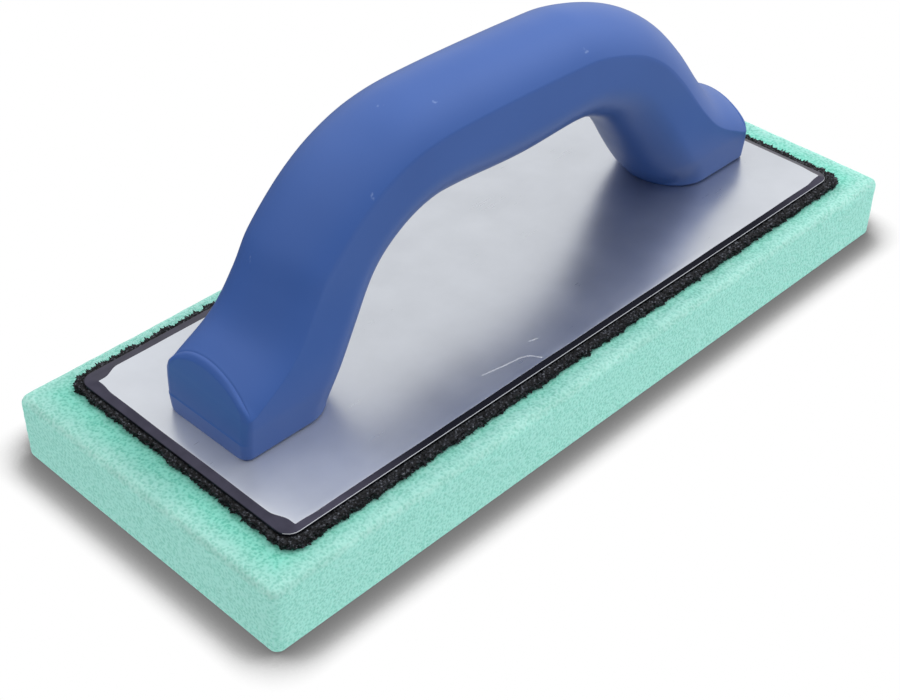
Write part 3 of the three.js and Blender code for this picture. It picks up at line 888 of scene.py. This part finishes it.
def toe_inset(point, angle):
    """How much the skin is drawn in near the flat end: the rounded edge and the fine groove."""
    from_end = HANDLE["half"] - abs(point.x)
    edge = mix(*HANDLE["toe_edge"], smooth(0.8, 1.0, angle / HANDLE["crown_sweep"]))
    rounding = edge - math.sqrt(max(edge**2 - max(edge - from_end, 0) ** 2, 0.0))
    offset = (from_end - HANDLE["groove"]) / HANDLE["groove_width"]
    on_dome = 1 - smooth(0.8, 1.0, angle / HANDLE["crown_sweep"])
    return rounding + HANDLE["groove_depth"] * math.exp(-offset * offset) * on_dome


def toe_lean(point):
    """How far the flat end stands back at a height: it leans above the witness line, drafts below it."""
    rise = point.z - HANDLE["witness"]
    fade = 1 - smooth(0.0, 7.0, HANDLE["half"] - abs(point.x))
    face = 1 - smooth(0.3, 1.2, HANDLE["half"] - abs(point.x))
    if rise > 0:
        return fade * HANDLE["toe_lean"] * rise / 16 + face * HANDLE["witness_step"] * smooth(0.0, 0.12, rise)
    return fade * HANDLE["witness_draft"] * -rise / (HANDLE["witness"] - plate_top)


def handle_section(t):
    """One closed ring of the handle: down the -Y side from the top line and up the +Y side."""
    top, bottom = top_line.at(t), lower_end(t)
    rounded = min(min(t, 1 - t) / HANDLE["foot_share"], 1.0)
    witness = (top.z - HANDLE["witness"]) / max(top.z - bottom.z, 1)
    side = []
    for share in [0.0] + section_shares(top, bottom, rounded, witness):
        point = top.lerp(bottom, share)
        angle = dome_angle(point)
        from_hand = min(hand_line.gap(point) / HANDLE["under"], 1.0)
        dome = math.sin(angle) / math.sin(HANDLE["crown_sweep"])
        half_width = full_half_width(point.z) * dome * math.sqrt(1 - (1 - from_hand) ** 2)
        inset = toe_inset(point, angle)
        from_base = point.z - bottom.z
        if rounded < 1:
            edge = HANDLE["base_edge"]
            half_width -= edge - math.sqrt(max(edge**2 - max(edge - from_base, 0) ** 2, 0.0))
        up = math.cos(angle * math.pi / 2 / HANDLE["crown_sweep"])
        width = max(half_width - inset * math.sqrt(1 - up * up), 0.0 if share == 0 else 0.03)
        lean = toe_lean(point)
        x = point.x - math.copysign(lean, point.x)
        side.append(Vector((x, width, point.z - inset * up)))
    ring = [side[0]] + [Vector((p.x, -p.y, p.z)) for p in side[1:]]
    ring.append(Vector((side[-1].x if rounded < 1 else bottom.x, 0, bottom.z)))
    ring += [p.copy() for p in reversed(side[1:])]
    return ring


# Distances in from a flat end at which the sections over its rounding and groove are taken.
TOE_SECTIONS = [
    0, 0.04, 0.12, 0.25, 0.45, 0.7, 1.0, 1.3, 1.6, 1.85, 2.0, 2.15, 2.3, 2.45, 2.6, 2.8, 3.1, 3.6, 4.3, 5.2,
]
TOE_SLOPE = 1.15  # length along the top line for each millimetre of x there
FOOT_SECTIONS = 34
GRIP_SECTIONS = 130


def section_places():
    """Where the sections are taken along the handle: close together at the toes and at the hand line."""
    share = HANDLE["foot_share"]
    toe = [along * TOE_SLOPE / top_line.run[-1] for along in TOE_SECTIONS]
    foot = [
        toe[-1] + (share - toe[-1]) * (1 - (1 - k / FOOT_SECTIONS) ** 2) for k in range(1, FOOT_SECTIONS)
    ]
    near = toe + foot
    grip = [share + (1 - 2 * share) * k / GRIP_SECTIONS for k in range(GRIP_SECTIONS + 1)]
    return near + grip + [1 - t for t in reversed(near)]


def toe_faces(first, flip):
    """The flat end: strips across between the two sides of the end ring."""
    side = DOME_STEPS + LOWER_STEPS
    count = 2 * side + 2
    left = [first + k for k in range(1, side + 1)]
    right = [first + count - k for k in range(1, side + 1)]
    faces = [(first, left[0], right[0])]
    faces += [(left[k], left[k + 1], right[k + 1], right[k]) for k in range(side - 1)]
    faces.append((left[-1], first + side + 1, right[-1]))
    return [tuple(reversed(face)) if flip else face for face in faces]


def make_handle(material):
    """The handle: a skin over sections that run from the top line to the underside."""
    rings = [handle_section(t) for t in section_places()]
    count = len(rings[0])
    move = Vector((HANDLE["offset"], 0, 0))
    points = [point + move for ring in rings for point in ring]
    faces = band_faces(len(rings), count)
    faces += toe_faces(0, True) + toe_faces((len(rings) - 1) * count, False)
    handle = mesh_piece("handle_moulded", points, faces, 40)
    place_piece(handle, material, "handle")


# ---- stage ----
def make_floor():
    """The sheet of white paper that the float stands on."""
    bpy.ops.object.select_all(action="DESELECT")
    bpy.ops.mesh.primitive_plane_add(size=FLOOR_SIZE, location=(0, 0, -FLOOR_DROP * MM))
    floor = bpy.context.active_object
    floor.name = "studio_floor"
    made, tree, shader, place = new_material("studio_paper_white")
    # The paper glows white by emission rather than being lit, and a painted shadow driven by ambient occlusion
    # darkens it close under the float.
    open_sky = node(tree, "ShaderNodeAmbientOcclusion", {"Distance": PAPER_REACH * MM}, samples=16)
    shades = [(share, grey(value)) for share, value in PAPER_SHADE]
    painted_shadow = node(tree, "ShaderNodeValToRGB", {"Fac": open_sky.outputs["AO"]}, shades)
    tree.links.new(painted_shadow.outputs["Color"], shader.inputs["Emission Color"])
    shader.inputs["Emission Strength"].default_value = 1.0
    shader.inputs["Base Color"].default_value = grey(0.0)
    shader.inputs["Specular IOR Level"].default_value = 0.0
    floor.data.materials.append(made)
    # The paper itself neither lights the float nor shows in it: the room's brightness stands for that.
    floor.visible_diffuse = False
    floor.visible_glossy = False


def room_side(tree, direction, toward, stops):
    """The brightness of the room by the angle between a direction and the side named by toward."""
    facing = node(tree, "ShaderNodeVectorMath", {0: direction, 1: toward}, operation="DOT_PRODUCT")
    share = node(
        tree, "ShaderNodeMapRange", {"Value": facing.outputs["Value"], "From Min": -1.0, "From Max": 1.0}
    )
    shades = [((cosine + 1) / 2, grey(value)) for cosine, value in stops]
    return node(tree, "ShaderNodeValToRGB", {"Fac": share.outputs["Result"]}, shades).outputs["Color"]


def make_world():
    """A studio room: one brightness lights the float, another shows in its gloss, and white stands behind."""
    world = bpy.data.worlds.new("studio_room")
    bpy.context.scene.world = world
    world.use_nodes = True
    tree = world.node_tree
    ground = tree.nodes["Background"]
    direction = node(tree, "ShaderNodeTexCoord").outputs["Generated"]
    light = room_side(tree, direction, ROOM_LIGHT_AXIS, ROOM_LIGHT)
    above = room_side(tree, direction, ROOM_MIRRORED_AXIS, ROOM_MIRRORED)
    below = room_side(tree, direction, PAPER_MIRRORED_AXIS, PAPER_MIRRORED)
    both = {"Factor": 1.0, "A": above, "B": below}
    mirrored = node(tree, "ShaderNodeMix", both, data_type="RGBA", blend_type="ADD").outputs["Result"]
    path = node(tree, "ShaderNodeLightPath")
    by_gloss = {"Factor": path.outputs["Is Glossy Ray"], "A": light, "B": mirrored}
    inside = node(tree, "ShaderNodeMix", by_gloss, data_type="RGBA").outputs["Result"]
    by_camera = {"Factor": path.outputs["Is Camera Ray"], "A": inside, "B": grey(1.0)}
    shown = node(tree, "ShaderNodeMix", by_camera, data_type="RGBA")
    tree.links.new(shown.outputs["Result"], ground.inputs["Color"])


def make_lamp(name, place, size, power):
    """A soft box aimed at the float; place and size in metres."""
    data = bpy.data.lights.new(name, "AREA")
    data.shape = "SQUARE"
    data.size = size
    data.energy = power
    lamp = bpy.data.objects.new(name, data)
    bpy.context.scene.collection.objects.link(lamp)
    lamp.location = place
    lamp.rotation_euler = (Vector((0, 0, 0.03)) - Vector(place)).to_track_quat("-Z", "Y").to_euler()
    lamp.visible_glossy = False


def make_camera():
    """The camera looks down at the float from its near left corner."""
    azimuth, elevation, roll = CAMERA["azimuth"], CAMERA["elevation"], CAMERA["roll"]
    flat = math.cos(elevation)
    back = Vector((math.sin(azimuth) * flat, -math.cos(azimuth) * flat, math.sin(elevation)))
    level = Vector((math.cos(azimuth), math.sin(azimuth), 0))
    right = level * math.cos(roll) + back.cross(level) * math.sin(roll)
    turn = Matrix((right, back.cross(right), back)).transposed()
    data = bpy.data.cameras.new("camera")
    data.lens = CAMERA["lens"]
    data.clip_start = 0.01  # metres
    camera = bpy.data.objects.new("camera", data)
    bpy.context.scene.collection.objects.link(camera)
    camera.location = (CAMERA["target"] + back * CAMERA["distance"]) * MM
    camera.rotation_euler = turn.to_euler()
    bpy.context.scene.camera = camera


make_camera()
make_floor()
make_world()
make_lamp("soft_box_high", (0.10, 0.55, 1.1), 0.9, 1.5)
make_lamp("soft_box_right", (0.80, -0.35, 0.82), 0.9, 7.0)
bpy.context.scene.view_settings.view_transform = "Standard"

make_pad(foam_pad_green())
make_backing(foam_backing_black())
make_plate(aluminium_rolled(), aluminium_rim())
make_handle(polypropylene_moulded())

adhesive = adhesive_dried()
steel = steel_zinc_plated()
for name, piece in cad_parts.items():
    if name.endswith("adhesive_film") or name.startswith("handle_screw"):
        piece.data.materials.clear()
        piece.data.materials.append(adhesive if name.endswith("film") else steel)
